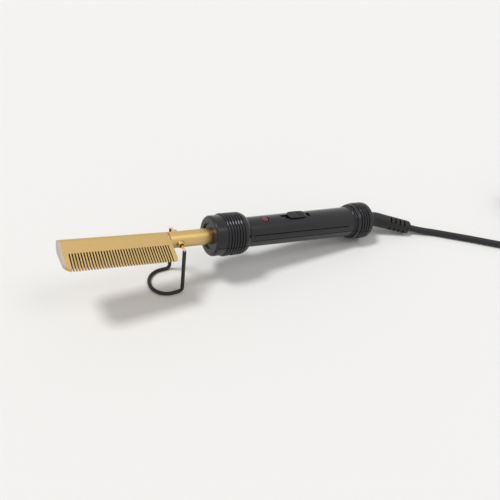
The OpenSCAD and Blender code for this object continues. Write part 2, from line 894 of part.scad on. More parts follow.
module switch_housing() {
    wall = 1;
    lever_mid = thumb_at - switch_travel / 2;
    color("black")
        placed()
            difference() {
                translate([lever_mid - housing_len / 2, -housing_w / 2, board_top])
                    cube([housing_len, housing_w, housing_h]);
                translate([lever_mid - housing_len / 2 + wall, -housing_w / 2 + wall, housing_top - 3.3])
                    cube([housing_len - 2 * wall, housing_w - 2 * wall, 2.4]);
                translate([lever_mid - (lever_w + switch_travel) / 2 - loose_fit, -lever_w / 2 - loose_fit,
                    housing_top - 2])
                    cube([lever_w + switch_travel + 2 * loose_fit, lever_w + 2 * loose_fit, 3]);
            }
}

module supply_leads() {
    color("saddlebrown")
        placed()
            for (side = [-1, 1])
                bar(supply_lead_r, board_x + board_len - 3, tail_x, side * supply_lead_y,
                    board_top + supply_lead_r);
}

module cord_tail() {
    color("black")
        placed()
            bar(cord_r, tail_x, rear_x + boot_neck - 2);
}

// bar that presses the cord on its saddle
module cord_clamp() {
    color("dimgray")
        placed()
            difference() {
                translate([clamp_x - clamp_w / 2, -clamp_screw_y - small_post_r, cord_r + seat_fit])
                    cube([clamp_w, 2 * (clamp_screw_y + small_post_r), clamp_t]);
                for (side = [-1, 1])
                    translate([clamp_x, side * clamp_screw_y, 0])
                        cylinder(r = small_screw_r + loose_fit, h = 20);
            }
}

module clamp_screws() {
    color("silver")
        placed()
            for (side = [-1, 1])
                translate([clamp_x, side * clamp_screw_y, cord_r + seat_fit + clamp_t]) {
                    cylinder(r = small_head_r, h = small_head_h);
                    translate([0, 0, -small_screw_len - clamp_t])
                        cylinder(r = small_screw_r, h = small_screw_len + clamp_t);
                }
}

// moves its children to the start of the tapered part
module at_taper() {
    translate([rear_x + boot_neck, 0, 0])
        rotate([180 + boot_roll, 0, 0])
            translate([boot_bend_r * sin(boot_bend), boot_bend_r * (1 - cos(boot_bend)), 0])
                rotate([0, 0, boot_bend])
                    children();
}

module strain_relief() {
    window_pitch = 4.9;
    window_turn = 18;
    last_window = boot_taper_len - 7.6;
    color("black")
        placed()
            difference() {
                union() {
                    bar(boot_r + 2.2, rear_x - boot_wall - 3, rear_x - boot_wall - seat_fit);
                    bar(boot_r, rear_x - boot_wall - 1, rear_x + boot_neck);
                    translate([rear_x + boot_neck, 0, 0])
                        rotate([180 + boot_roll, 0, 0])
                            translate([0, boot_bend_r, 0])
                                rotate([0, 0, -90])
                                    rotate_extrude(angle = boot_bend)
                                        translate([boot_bend_r, 0])
                                            circle(r = boot_r - boot_step);
                    at_taper()
                        turned([[0, -2], [boot_r - 2 * boot_step, -2], [boot_r - 2 * boot_step, 1],
                            [boot_end_r, boot_taper_len - 1],
                            [boot_end_r - 0.5, boot_taper_len], [0, boot_taper_len]]);
                }
                bar(cord_r + seat_fit, rear_x - 20, rear_x + boot_neck - 2 + seat_fit);
                at_taper() {
                    bar(cord_r + seat_fit, boot_taper_len - 12, boot_taper_len + 1);
                    for (row = [0:3])
                        for (i = [0:boot_window_count - 1])
                            rotate([180 + window_turn + 90 * row + 10 * (row % 2), 0, 0])
                                boot_window(last_window + 1.2 * (row % 2) - i * window_pitch);
                }
            }
}

// one window in the strain relief, across its taper
module boot_window(x) {
    window_w = 1.6;
    window_d = 2.3;
    across = 6;
    translate([x, -across / 2, boot_end_r - window_d])
        cube([window_w, across, boot_r]);
}

// rings of a tube along points that are never upright
function ring_at(points, i, r, sides) =
    let (last = len(points) - 1,
        ahead = points[min(i + 1, last)] - points[max(i - 1, 0)],
        along = ahead / norm(ahead),
        flat = cross(along, [0, 0, 1]),
        across = flat / norm(flat),
        upward = cross(across, along))
    [for (k = [0:sides - 1]) let (a = 360 * k / sides)
        points[i] + r * (across * cos(a) + upward * sin(a))];

module tube_along(points, r, sides) {
    count = len(points);
    skin = [for (i = [0:count - 2], k = [0:sides - 1])
        [i * sides + k, i * sides + (k + 1) % sides,
            (i + 1) * sides + (k + 1) % sides, (i + 1) * sides + k]];
    ends = [[for (k = [0:sides - 1]) sides - 1 - k],
        [for (k = [0:sides - 1]) (count - 1) * sides + k]];
    polyhedron([for (i = [0:count - 1]) each ring_at(points, i, r, sides)],
        concat(skin, ends));
}

module mains_cord() {
    color("black")
        tube_along(concat([cord_start, cord_out], to_coil), cord_r, 12);
}

module cord_to_plug() {
    color("black")
        tube_along(concat(to_plug, [plug_at + [plug_neck + 1, 0, 0],
            plug_at + [plug_neck - plug_grip, 0, 0]]), cord_r, 12);
}

// body of the coil: the outer shape of two layers of turns
module cord_coil() {
    color("black")
        difference() {
            translate(coil_at)
                rotate_extrude($fn = 96)
                    polygon([[coil_inner_r, 0], [coil_outer_r, 0], [coil_outer_r, 2 * cord_r],
                        [coil_outer_r - cord_r, coil_top], [coil_inner_r + cord_r, coil_top],
                        [coil_inner_r, 2 * cord_r]]);
            coil_tie();
        }
}

// band round the coil, on the side towards the tool
module coil_tie() {
    inside = coil_outer_r - coil_inner_r + 2 * loose_fit;
    color("dimgray")
        translate(coil_at - [coil_outer_r + loose_fit, 0, 0])
            difference() {
                translate([-tie_t, -tie_w / 2, 0])
                    cube([inside + 2 * tie_t, tie_w, coil_top + loose_fit + tie_t]);
                translate([0, -tie_w, tie_t])
                    cube([inside, 2 * tie_w, coil_top + loose_fit - tie_t]);
            }
}

// flat plug body with a short neck round the cord
module plug_body() {
    color("black")
        translate(plug_at)
            difference() {
                union() {
                    translate([0, 0, -plug_t / 2])
                        linear_extrude(plug_t)
                            polygon([[0, -6.5], [0, 6.5], [-5, 10], [2 - plug_len / 2, plug_w / 2],
                                [3 - plug_len, plug_w / 2], [-plug_len, plug_w / 2 - 2],
                                [-plug_len, 2 - plug_w / 2], [3 - plug_len, -plug_w / 2],
                                [2 - plug_len / 2, -plug_w / 2], [-5, -10]]);
                    rotate([0, 90, 0])
                        cylinder(r1 = 5.4, r2 = 4.4, h = plug_neck);
                }
                rotate([0, 90, 0])
                    translate([0, 0, plug_neck - plug_grip - seat_fit])
                        cylinder(r = cord_r + seat_fit, h = plug_grip + 1);
                for (side = [-1, 1])
                    translate([-plug_len - 1, side * pin_spacing / 2, 0])
                        rotate([0, 90, 0])
                            cylinder(r = pin_root_r + seat_fit, h = pin_root_len + 1);
            }
}

// two pins, each with a thinner root that is held in the plug body
module plug_pins() {
    color("silver")
        for (side = [-1, 1])
            translate(plug_at + [-plug_len, side * pin_spacing / 2, 0]) {
                rotate([0, 90, 0]) {
                    translate([0, 0, pin_r - pin_len])
                        cylinder(r = pin_r, h = pin_len - pin_r - loose_fit);
                    translate([0, 0, -loose_fit - 0.1])
                        cylinder(r = pin_root_r, h = pin_root_len + loose_fit + 0.1 - seat_fit);
                }
                translate([pin_r - pin_len, 0, 0])
                    sphere(r = pin_r);
            }
}

comb_head();
comb_end_cap();
heater_cartridge();
heater_leads();
thermal_fuse();
neck_tube();
pivot_bosses();
stand_wire();
stand_sleeve();
heat_bush();
tube_ring();
upper_shell();
lower_shell();
indicator_lens();
indicator_led();
led_resistor();
circuit_board();
lead_terminal();
board_screws();
switch_thumb();
switch_lever();
switch_housing();
supply_leads();
cord_tail();
cord_clamp();
clamp_screws();
shell_screws();
strain_relief();
mains_cord();
cord_to_plug();
cord_coil();
coil_tie();
plug_body();
plug_pins();
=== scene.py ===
from math import cos, pi, radians, sin

import bpy
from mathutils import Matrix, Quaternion, Vector


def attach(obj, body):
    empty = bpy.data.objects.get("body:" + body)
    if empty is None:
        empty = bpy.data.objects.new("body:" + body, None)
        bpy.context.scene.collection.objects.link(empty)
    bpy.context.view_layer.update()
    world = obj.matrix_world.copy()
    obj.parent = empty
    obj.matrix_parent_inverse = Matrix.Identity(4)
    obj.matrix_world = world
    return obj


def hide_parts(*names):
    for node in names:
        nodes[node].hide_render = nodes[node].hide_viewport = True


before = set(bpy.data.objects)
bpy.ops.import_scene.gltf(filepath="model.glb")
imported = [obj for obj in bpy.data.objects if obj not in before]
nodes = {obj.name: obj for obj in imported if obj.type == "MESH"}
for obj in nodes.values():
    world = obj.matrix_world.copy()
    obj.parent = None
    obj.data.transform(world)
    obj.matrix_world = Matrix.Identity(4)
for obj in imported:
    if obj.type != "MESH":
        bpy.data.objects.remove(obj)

bpy.context.view_layer.update()
mm = 0.001

# how the tool stands: the angle its axis is tipped by, and how far the axis is from Y = 0
tool = {"tilt": radians(8.45238), "axisY": 3.2 * mm}


def deselectAll():
    for item in bpy.context.selected_objects:
        item.select_set(False)


# the camera's place in metres, the way it looks, its turn about that way and its lens in mm
cameraView = {
    "place": (-0.202252, -0.2899, 0.320240),
    "direction": (0.41743, 0.6276, -0.65720),
    "roll": radians(9.61),
    "lens": 38.89,
    "sensor": 36,
    "nearest": 10 * mm,
}


def makeCamera():
    data = bpy.data.cameras.new("camera")
    data.lens = cameraView["lens"]
    data.sensor_width = cameraView["sensor"]
    data.clip_start = cameraView["nearest"]
    camera = bpy.data.objects.new("camera", data)
    bpy.context.scene.collection.objects.link(camera)
    camera.location = cameraView["place"]
    camera.rotation_mode = "QUATERNION"
    level = Vector(cameraView["direction"]).to_track_quat("-Z", "Y")
    camera.rotation_quaternion = level @ Quaternion((0, 0, 1), cameraView["roll"])
    bpy.context.scene.camera = camera


makeCamera()
print("camera placed")

# toCoil and toPlug are points in mm of the cord's middle, from the strain relief to its coil and
# from the coil to the plug
mainsCord = {
    "radius": 3.15 * mm,
    "insideBoot": 8 * mm,
    "pastBoot": 5 * mm,
    "bootEnd": Vector((161.4284, -12.1469, 6.5705)) * mm,
    "bootDirection": Vector((0.893241, -0.400557, -0.204142)),
    "toCoil": [(175, -18.6, 4.1), (187, -24.8, 3.2), (201, -34.3, 3.2), (215, -43.8, 3.2),
               (229, -53.8, 3.2), (243, -63.8, 3.2), (258, -73.6, 3.2), (273.5, -83.3, 3.2),
               (289.5, -93, 3.2), (306.4, -102.7, 3.2)],
    "toPlug": [(351.6, -100.2, 8.7), (360.5, -93.3, 9.8), (367.5, -84.5, 11.8), (372, -74.1, 13.9),
               (373.5, -62.8, 14.9), (373, -53, 15.2), (371, -42.8, 15.8), (365.4, -34.2, 16.8),
               (357, -28.3, 17.8), (346, -26, 18.6), (341, -26, 18.6)],
    "coilAt": Vector((330, -62.8, 0)) * mm,
    "enterAngle": -120.6,
    # radius and height of the coil in mm: at its start, and after each move to another turn,
    # which goes from one angle to another in degrees since the start
    "coilStart": (46.3, 3.15),
    "moves": [(310, 360, 40, 3.15), (670, 720, 33.7, 3.15), (1030, 1080, 27.4, 3.15),
              (1330, 1380, 27.4, 8.65), (1380, 1410, 30.55, 8.65), (1551, 1601, 36.85, 8.65),
              (1911, 1961, 43.15, 8.65)],
    "coilDegrees": 2220.6,
    "step": 15,
}


# goes from 0 to 1 with a soft start and end
def eased(t):
    t = min(max(t, 0), 1)
    return t * t * (3 - 2 * t)


# the turns of the coil, from outside to inside below and back outside on top of them
def coilPoints():
    c = mainsCord
    points = []
    count = round(c["coilDegrees"] / c["step"])
    for i in range(1, count):
        gone = c["coilDegrees"] * i / count
        r, z = c["coilStart"]
        for start, end, nextRadius, nextHeight in c["moves"]:
            share = eased((gone - start) / (end - start))
            r += (nextRadius - r) * share
            z += (nextHeight - z) * share
        angle = radians(c["enterAngle"] + gone)
        points.append(c["coilAt"] + Vector((r * cos(angle), r * sin(angle), z)) * mm)
    return points


def makeCord():
    c = mainsCord
    points = [c["bootEnd"] - c["insideBoot"] * c["bootDirection"],
              c["bootEnd"] + c["pastBoot"] * c["bootDirection"]]
    points += [Vector(p) * mm for p in c["toCoil"]]
    points += coilPoints()
    points += [Vector(p) * mm for p in c["toPlug"]]
    curve = bpy.data.curves.new("mainsCord", "CURVE")
    curve.dimensions = "3D"
    curve.resolution_u = 5
    curve.bevel_depth = 1  # each point's own radius sets the size of the tube
    curve.bevel_resolution = 4
    curve.use_fill_caps = True
    spline = curve.splines.new("BEZIER")
    spline.bezier_points.add(len(points) - 1)
    for place, point in zip(points, spline.bezier_points):
        point.co = place
        point.radius = c["radius"]
        point.handle_left_type = point.handle_right_type = "AUTO"
    cord = bpy.data.objects.new("mainsCord", curve)
    bpy.context.scene.collection.objects.link(cord)
    length = sum((b - a).length for a, b in zip(points, points[1:]))
    print("cord of", round(length, 3), "m between its points")
    return cord


cord = makeCord()
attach(cord, "tool")
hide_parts("mains_cord", "cord_to_plug", "cord_coil")


# a block to start a piece from, place and size in mm, both kept in its mesh
def startBlock(name, place, size):
    deselectAll()
    bpy.ops.mesh.primitive_cube_add(size=1, location=Vector(place) * mm)
    block = bpy.context.object
    block.name = name
    block.scale = Vector(size) * mm
    bpy.ops.object.transform_apply(location=True, rotation=True, scale=True)
    return block


# opens a piece in edit mode, with those of its faces or edges selected whose middle, in mm, and
# direction pass the test
def editParts(piece, kind, test):
    mesh = piece.data
    for group in (mesh.vertices, mesh.edges, mesh.polygons):
        for part in group:
            part.select = False
    if kind == "FACE":
        for face in mesh.polygons:
            face.select = test(face.center / mm, face.normal)
    else:
        for edge in mesh.edges:
            a, b = (mesh.vertices[i].co for i in edge.vertices)
            edge.select = test((a + b) / 2 / mm, (b - a).normalized())
    bpy.ops.object.mode_set(mode="EDIT")
    bpy.ops.mesh.select_mode(type=kind)


def leaveEdit():
    bpy.ops.object.mode_set(mode="OBJECT")


sharpFrom = radians(25)  # an edge that turns more than this is rounded
smoothTo = radians(40)  # an edge that turns less than this is shaded smooth
along = 0.9  # a direction is along an axis from this share of it on


# rounds a piece's edges, width in mm
def roundEdges(piece, width, steps):
    rounding = piece.modifiers.new("rounding", "BEVEL")
    rounding.width = width * mm
    rounding.segments = steps
    rounding.limit_method = "ANGLE"
    rounding.angle_limit = sharpFrom
    bpy.context.view_layer.objects.active = piece
    bpy.ops.object.modifier_apply(modifier="rounding")


# joins pieces into the first one
def joinPieces(first, *others):
    deselectAll()
    for piece in (first, *others):
        piece.select_set(True)
    bpy.context.view_layer.objects.active = first
    bpy.ops.object.join()
    bpy.ops.object.shade_smooth_by_angle(angle=smoothTo)
    return first


# all in mm
coilTie = {
    "middle": (293.15, -62.8, 6.35),
    "size": (26.8, 14, 12.7),
    "upperRounding": 4.6,
    "lowerRounding": 1.5,
    "roundingSteps": 6,
    "thickness": 0.8,
    "flap": (9, 13.2, 0.7),
    "flapStart": 3.5,
    "flapCorner": 3,
    "flapCornerSteps": 5,
    "flapSink": 0.1,
    "hem": 0.2,
}


# strap round the coil, with its free end as a rounded flap pressed down on top
def makeCoilTie():
    t = coilTie
    strap = startBlock("coilTie", t["middle"], t["size"])
    x, y, z = t["middle"]
    for side, rounding in ((1, "upperRounding"), (-1, "lowerRounding")):
        editParts(strap, "EDGE",
                  lambda middle, way: abs(way.y) > along and (middle.z - z) * side > 0)
        bpy.ops.mesh.bevel(offset=t[rounding] * mm, segments=t["roundingSteps"], affect="EDGES")
        leaveEdit()
    editParts(strap, "FACE", lambda middle, way: abs(way.y) > along)
    bpy.ops.mesh.delete(type="FACE")
    leaveEdit()
    wall = strap.modifiers.new("wall", "SOLIDIFY")
    wall.thickness = t["thickness"] * mm
    wall.offset = -1
    bpy.ops.object.modifier_apply(modifier="wall")
    roundEdges(strap, t["hem"], 2)
    flapX = x + t["flapStart"]
    flapZ = z + t["size"][2] / 2 + t["flap"][2] / 2 - t["flapSink"]
    flap = startBlock("flap", (flapX, y, flapZ), t["flap"])
    editParts(flap, "EDGE", lambda middle, way: abs(way.z) > along and middle.x < flapX)
    bpy.ops.mesh.bevel(offset=t["flapCorner"] * mm, segments=t["flapCornerSteps"], affect="EDGES")
    leaveEdit()
    roundEdges(flap, t["hem"], 2)
    return joinPieces(strap, flap)


# all in mm; the block narrows in two steps, each with its length and the share of the width and
# height that is left
plugBody = {
    "back": (333, -26, 18.6),
    "block": (13, 35, 13.6),
    "shoulder": (4, 0.6, 0.94),
    "throat": (5, 0.66, 0.9),
    "panelMargin": 2.6,
    "panelDepth": 0.5,
    "rounding": 1.9,
    "neck": {"length": 12, "radii": (5.4, 4.5), "inside": 3, "rim": 0.6, "sides": 40,
             "rings": (2.6, 5.2, 7.8), "ringRadius": 0.75, "ringSides": 10},
}


# flat plug: a wide block that narrows to the cord, with a sunk panel on both faces and a ringed
# neck
def makePlugBody():
    t = plugBody
    back = Vector(t["back"])
    tail = t["shoulder"][0] + t["throat"][0]
    body = startBlock("plugBody", back - Vector((tail + t["block"][0] / 2, 0, 0)), t["block"])
    for side in (1, -1):
        editParts(body, "FACE", lambda middle, way: way.z * side > along)
        bpy.ops.mesh.inset(thickness=t["panelMargin"] * mm)
        bpy.ops.transform.translate(value=(0, 0, -side * t["panelDepth"] * mm))
        leaveEdit()
    reach = back.x - tail
    for step in ("shoulder", "throat"):
        stretch, narrow, low = t[step]
        editParts(body, "FACE",
                  lambda middle, way: way.x > along and abs(middle.x - reach) < 0.1)
        bpy.ops.mesh.extrude_region_move(TRANSFORM_OT_translate={"value": (stretch * mm, 0, 0)})
        reach += stretch
        bpy.ops.transform.resize(value=(1, narrow, low),
                                 center_override=Vector((reach, back.y, back.z)) * mm)
        leaveEdit()
    roundEdges(body, t["rounding"], 4)
    n = t["neck"]
    deselectAll()
    middle = back + Vector(((n["length"] - n["inside"]) / 2, 0, 0))
    bpy.ops.mesh.primitive_cone_add(vertices=n["sides"], radius1=n["radii"][0] * mm,
                                    radius2=n["radii"][1] * mm,
                                    depth=(n["length"] + n["inside"]) * mm,
                                    rotation=(0, pi / 2, 0), location=middle * mm)
    neck = bpy.context.object
    bpy.ops.object.transform_apply(location=True, rotation=True, scale=True)
    roundEdges(neck, n["rim"], 2)
    rings = []
    for place in n["rings"]:
        share = place / n["length"]
        radius = n["radii"][0] * (1 - share) + n["radii"][1] * share
        deselectAll()
        bpy.ops.mesh.primitive_torus_add(major_radius=radius * mm,
                                         minor_radius=n["ringRadius"] * mm,
                                         major_segments=n["sides"],
                                         minor_segments=n["ringSides"],
                                         rotation=(0, pi / 2, 0),
                                         location=(back + Vector((place, 0, 0))) * mm)
        rings.append(bpy.context.object)
        bpy.ops.object.transform_apply(location=True, rotation=True, scale=True)
    return joinPieces(body, neck, *rings)


tie = makeCoilTie()
plug = makePlugBody()
for piece, node, slot in ((tie, "coil_tie", "tie_fabric"), (plug, "plug_body", "plug_plastic")):
    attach(piece, "tool")
    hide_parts(node)
print("coil tie and plug made")

print("cord made")


# an sRGB hex colour as linear values
def colour(text):
    levels = [int(text[i:i + 2], 16) / 255 for i in (1, 3, 5)]
    return tuple(v / 12.92 if v <= 0.04045 else ((v + 0.055) / 1.055) ** 2.4 for v in levels) + (1,)


# adds a node: a setting is one of its sockets, by name or number, or one of its own properties
def addNode(material, kind, settings=None, links=None):
    node = material.node_tree.nodes.new(kind)
    for key, value in (settings or {}).items():
        if isinstance(key, int) or key in node.inputs:
            node.inputs[key].default_value = value
        else:
            setattr(node, key, value)
    for key, source in (links or {}).items():
        material.node_tree.links.new(source, node.inputs[key])
    return node


def startMaterial(name, base, settings):
    material = bpy.data.materials.new(name)
    material.use_nodes = True
    shader = material.node_tree.nodes["Principled BSDF"]
    shader.inputs["Base Color"].default_value = colour(base)
    for key, value in settings.items():
        shader.inputs[key].default_value = value
    return material, shader


# a noise in the piece's own place: size of its grains in mm, and how far it is drawn out along
# the tool
def grain(material, size, drawn=1, detail=2):
    place = addNode(material, "ShaderNodeTexCoord")
    drawnOut = addNode(material, "ShaderNodeMapping",
                       {"vector_type": "TEXTURE", "Rotation": (0, tool["tilt"], 0),
                        "Scale": (drawn, 1, 1)},
                       {"Vector": place.outputs["Object"]})
    return addNode(material, "ShaderNodeTexNoise", {"Scale": 1 / (size * mm), "Detail": detail},
                   {"Vector": drawnOut.outputs["Vector"]})


# two colours mixed by a value, into the shader's base colour
def mixColours(material, shader, value, first, second):
    mix = addNode(material, "ShaderNodeMix",
                  {"data_type": "RGBA", 6: colour(first), 7: colour(second)}, {0: value})
    material.node_tree.links.new(mix.outputs[2], shader.inputs["Base Color"])
    return mix


# fine relief of a surface, depth in mm; edge is the radius to which its sharp edges are worn
def roughen(material, shader, value, depth, strength=1, edge=0):
    bump = addNode(material, "ShaderNodeBump", {"Strength": strength, "Distance": depth * mm},
                   {"Height": value})
    if edge:
        worn = addNode(material, "ShaderNodeBevel", {"samples": 6, "Radius": edge * mm})
        material.node_tree.links.new(worn.outputs["Normal"], bump.inputs["Normal"])
    material.node_tree.links.new(bump.outputs["Normal"], shader.inputs["Normal"])


# painted shade: a mixed colour turned darker where ambient occlusion finds a crevice of the piece,
# to a depth in mm
def paintCreviceShade(material, shader, mix, dark, depth, low, high):
    creviceShadeMask = addNode(material, "ShaderNodeAmbientOcclusion", {"samples": 8, "Distance": depth * mm})
    amount = addNode(material, "ShaderNodeMapRange", {"From Min": low, "From Max": high},
                     {"Value": creviceShadeMask.outputs["AO"]})
    shade = addNode(material, "ShaderNodeMix", {"data_type": "RGBA", 6: colour(dark)},
                    {0: amount.outputs["Result"], 7: mix.outputs[2]})
    material.node_tree.links.new(shade.outputs[2], shader.inputs["Base Color"])


# a roughness that goes from low to high with the value of a noise
def spread(material, shader, value, low, high):
    change = addNode(material, "ShaderNodeMapRange",
                     {"From Min": 0.3, "From Max": 0.7, "To Min": low, "To Max": high},
                     {"Value": value})
    material.node_tree.links.new(change.outputs["Result"], shader.inputs["Roughness"])


# cast brass, fine-blasted: a soft golden glow with a sandy sparkle, no sharp reflection
def blastedBrass():
    material, shader = startMaterial("blastedBrass", "#d3b07c", {"Metallic": 1, "Roughness": 0.5})
    sand = grain(material, 0.4, detail=4)
    speckle = mixColours(material, shader, sand.outputs["Fac"], "#ae8f59", "#e2c58b")
    # painted shade: dark brown in the slots between the teeth and in the comb's other crevices
    paintCreviceShade(material, shader, speckle, "#5c2a0a", 2, 0.3, 0.75)
    spread(material, shader, sand.outputs["Fac"], 0.44, 0.6)
    roughen(material, shader, sand.outputs["Fac"], 0.05, 0.7, edge=0.25)
    return material


# sanded stainless steel, slightly warm: a pale matt face
def sandedSteel():
    material, shader = startMaterial("sandedSteel", "#c3b6ae", {"Metallic": 1, "Roughness": 0.5})
    lines = grain(material, 0.5)
    mixColours(material, shader, lines.outputs["Fac"], "#b3a69f", "#d0c4bd")
    roughen(material, shader, lines.outputs["Fac"], 0.02, 0.5, edge=0.2)
    return material


# drawn brass tube, brushed along its length: a soft long highlight with faint lines
def drawnBrass():
    material, shader = startMaterial("drawnBrass", "#cfb07c", {"Metallic": 1, "Roughness": 0.42})
    lines = grain(material, 0.25, drawn=60)
    sheen = mixColours(material, shader, lines.outputs["Fac"], "#c7a86e", "#d3b57c")
    # painted shade: dark brown in the crevices, such as where the tube meets the boss and the
    # collar
    paintCreviceShade(material, shader, sheen, "#3a2408", 1.4, 0.35, 0.85)
    spread(material, shader, lines.outputs["Fac"], 0.4, 0.46)
    roughen(material, shader, lines.outputs["Fac"], 0.002, 0.4)
    return material


# spring wire with a brass plating: small and bright
def brassWire():
    material, shader = startMaterial("brassWire", "#e0bb8e", {"Metallic": 1, "Roughness": 0.3})
    lines = grain(material, 0.3)
    mixColours(material, shader, lines.outputs["Fac"], "#d3aa7a", "#ecc99e")
    return material


# turned steel, left bare: grey with fine scratches
def turnedSteel():
    material, shader = startMaterial("turnedSteel", "#b5b3b0", {"Metallic": 1, "Roughness": 0.35})
    lines = grain(material, 0.3, drawn=0.2)
    mixColours(material, shader, lines.outputs["Fac"], "#a5a3a1", "#c6c4c1")
    roughen(material, shader, lines.outputs["Fac"], 0.005)
    return material


# zinc-plated steel of the small screws: bluish and bright
def zincSteel():
    material, shader = startMaterial("zincSteel", "#c2c6ca", {"Metallic": 1, "Roughness": 0.3})
    cloud = grain(material, 0.8)
    mixColours(material, shader, cloud.outputs["Fac"], "#aeb3b9", "#d3d6da")
    spread(material, shader, cloud.outputs["Fac"], 0.24, 0.4)
    return material


# blackened steel of the screws in the handle: nearly black, slightly oily
def blackenedSteel():
    material, shader = startMaterial("blackenedSteel", "#2a2a2c", {"Metallic": 1, "Roughness": 0.4})
    cloud = grain(material, 0.8)
    mixColours(material, shader, cloud.outputs["Fac"], "#212123", "#353537")
    spread(material, shader, cloud.outputs["Fac"], 0.32, 0.5)
    return material


# nickel-plated brass of the plug's pins: bright and slightly warm
def nickelPins():
    material, shader = startMaterial("nickelPins", "#cfccc4", {"Metallic": 1, "Roughness": 0.22})
    cloud = grain(material, 0.6)
    mixColours(material, shader, cloud.outputs["Fac"], "#c2bfb7", "#dcd9d2")
    return material


# braided glass-fibre sleeving on the heater's leads: chalky white threads
def glassSleeving():
    material, shader = startMaterial("glassSleeving", "#e4e0d4", {"Roughness": 0.85})
    place = addNode(material, "ShaderNodeTexCoord")
    threads = addNode(material, "ShaderNodeTexWave", {"Scale": 1 / (2.4 * mm), "Distortion": 2},
                      {"Vector": place.outputs["Object"]})
    mixColours(material, shader, threads.outputs["Fac"], "#cfcab9", "#f0ede3")
    roughen(material, shader, threads.outputs["Fac"], 0.1)
    return material


# glazed ceramic of the fuse: white with a dull shine
def fuseCeramic():
    material, shader = startMaterial("fuseCeramic", "#e9e6df", {"Roughness": 0.3, "IOR": 1.55})
    cloud = grain(material, 1.5)
    mixColours(material, shader, cloud.outputs["Fac"], "#dedacf", "#f2f0ea")
    return material


# silicone sleeve on the stand's wire: black, a soft broad shine
def siliconeSleeve():
    material, shader = startMaterial("siliconeSleeve", "#1d1b19", {"Roughness": 0.42, "IOR": 1.42})
    cloud = grain(material, 0.6)
    mixColours(material, shader, cloud.outputs["Fac"], "#171513", "#24211e")
    roughen(material, shader, cloud.outputs["Fac"], 0.02, 0.5)
    return material


# moulded phenolic resin of the bush: dark brown with paler specks of filler
def phenolicBush():
    material, shader = startMaterial("phenolicBush", "#3a2417", {"Roughness": 0.4, "IOR": 1.6})
    specks = grain(material, 0.5, detail=4)
    mixColours(material, shader, specks.outputs["Fac"], "#27170e", "#523522")
    spread(material, shader, specks.outputs["Fac"], 0.35, 0.5)
    return material


# moulded PBT of the handle: charcoal, with a very fine spark-eroded skin and a shine over it
# that glints on the ribs
def handlePlastic():
    material, shader = startMaterial("handlePlastic", "#222225",
                                     {"Roughness": 0.26, "IOR": 1.5, "Specular IOR Level": 0.22,
                                      "Coat Weight": 0.22, "Coat Roughness": 0.1})
    skin = grain(material, 0.3, detail=3)
    flow = grain(material, 9, drawn=3)
    tone = mixColours(material, shader, flow.outputs["Fac"], "#1d1d20", "#27272b")
    # painted shade: near black in the grooves, joint lines and recesses of the handle
    paintCreviceShade(material, shader, tone, "#050505", 1.2, 0.3, 0.8)
    spread(material, shader, skin.outputs["Fac"], 0.22, 0.3)
    roughen(material, shader, skin.outputs["Fac"], 0.006, 0.5, edge=0.2)
    return material


# tinted polycarbonate of the lamp's lens: deep red that lets light in
def redLens():
    material, shader = startMaterial("redLens", "#8c2338",
                                     {"Roughness": 0.2, "IOR": 1.585, "Transmission Weight": 0.35})
    cloud = grain(material, 1.2)
    mixColours(material, shader, cloud.outputs["Fac"], "#7e1d32", "#9a2a44")
    return material


# clear red epoxy of the light-emitting diode
def diodeResin():
    material, shader = startMaterial("diodeResin", "#c2303a",
                                     {"Roughness": 0.12, "IOR": 1.5, "Transmission Weight": 0.6})
    cloud = grain(material, 1)
    mixColours(material, shader, cloud.outputs["Fac"], "#b52a34", "#d03a45")
    return material


# lacquered body of the resistor, beige
def resistorLacquer():
    material, shader = startMaterial("resistorLacquer", "#c8a878", {"Roughness": 0.3})
    cloud = grain(material, 0.7)
    mixColours(material, shader, cloud.outputs["Fac"], "#bb9a68", "#d6b88b")
    return material


# glass-epoxy laminate under green lacquer: the weave shows faintly
def boardLaminate():
    material, shader = startMaterial("boardLaminate", "#1f5a35", {"Roughness": 0.35, "IOR": 1.55})
    place = addNode(material, "ShaderNodeTexCoord")
    weave = addNode(material, "ShaderNodeTexChecker", {"Scale": 1 / (0.8 * mm)},
                    {"Vector": place.outputs["Object"]})
    mixColours(material, shader, weave.outputs["Fac"], "#1a5030", "#24653d")
    return material


# glass-filled polyamide of the terminal block, blue
def terminalPolyamide():
    material, shader = startMaterial("terminalPolyamide", "#2f5f86", {"Roughness": 0.5})
    cloud = grain(material, 0.4)
    mixColours(material, shader, cloud.outputs["Fac"], "#2a5678", "#376a94")
    return material


# ABS of the thumb piece: black, a little glossier than the handle
def thumbPlastic():
    material, shader = startMaterial("thumbPlastic", "#161618",
                                     {"Roughness": 0.3, "IOR": 1.54, "Specular IOR Level": 0.3})
    skin = grain(material, 0.4)
    tone = mixColours(material, shader, skin.outputs["Fac"], "#131315", "#1b1b1d")
    # painted shade: near black in the crevices of the thumb piece
    paintCreviceShade(material, shader, tone, "#030303", 1, 0.3, 0.8)
    roughen(material, shader, skin.outputs["Fac"], 0.005, 0.5, edge=0.3)
    return material


# acetal of the switch's lever: milky white and slippery
def leverAcetal():
    material, shader = startMaterial("leverAcetal", "#e6e4dd", {"Roughness": 0.3, "IOR": 1.48})
    cloud = grain(material, 1.5)
    mixColours(material, shader, cloud.outputs["Fac"], "#dcdad2", "#efeee9")
    return material


# polyamide of the switch's housing and the cord clamp: plain matt black
def housingPolyamide():
    material, shader = startMaterial("housingPolyamide", "#262626", {"Roughness": 0.55})
    cloud = grain(material, 0.4)
    mixColours(material, shader, cloud.outputs["Fac"], "#202020", "#2f2f2f")
    return material


# PVC on the two supply leads: brown on one side, blue on the other
def leadPvc():
    material, shader = startMaterial("leadPvc", "#6b4527", {"Roughness": 0.45})
    place = addNode(material, "ShaderNodeTexCoord")
    parts = addNode(material, "ShaderNodeSeparateXYZ", links={"Vector": place.outputs["Object"]})
    side = addNode(material, "ShaderNodeMath",
                   {"operation": "GREATER_THAN", 1: tool["axisY"]}, {0: parts.outputs["Y"]})
    mixColours(material, shader, side.outputs["Value"], "#6b4527", "#24528f")
    return material


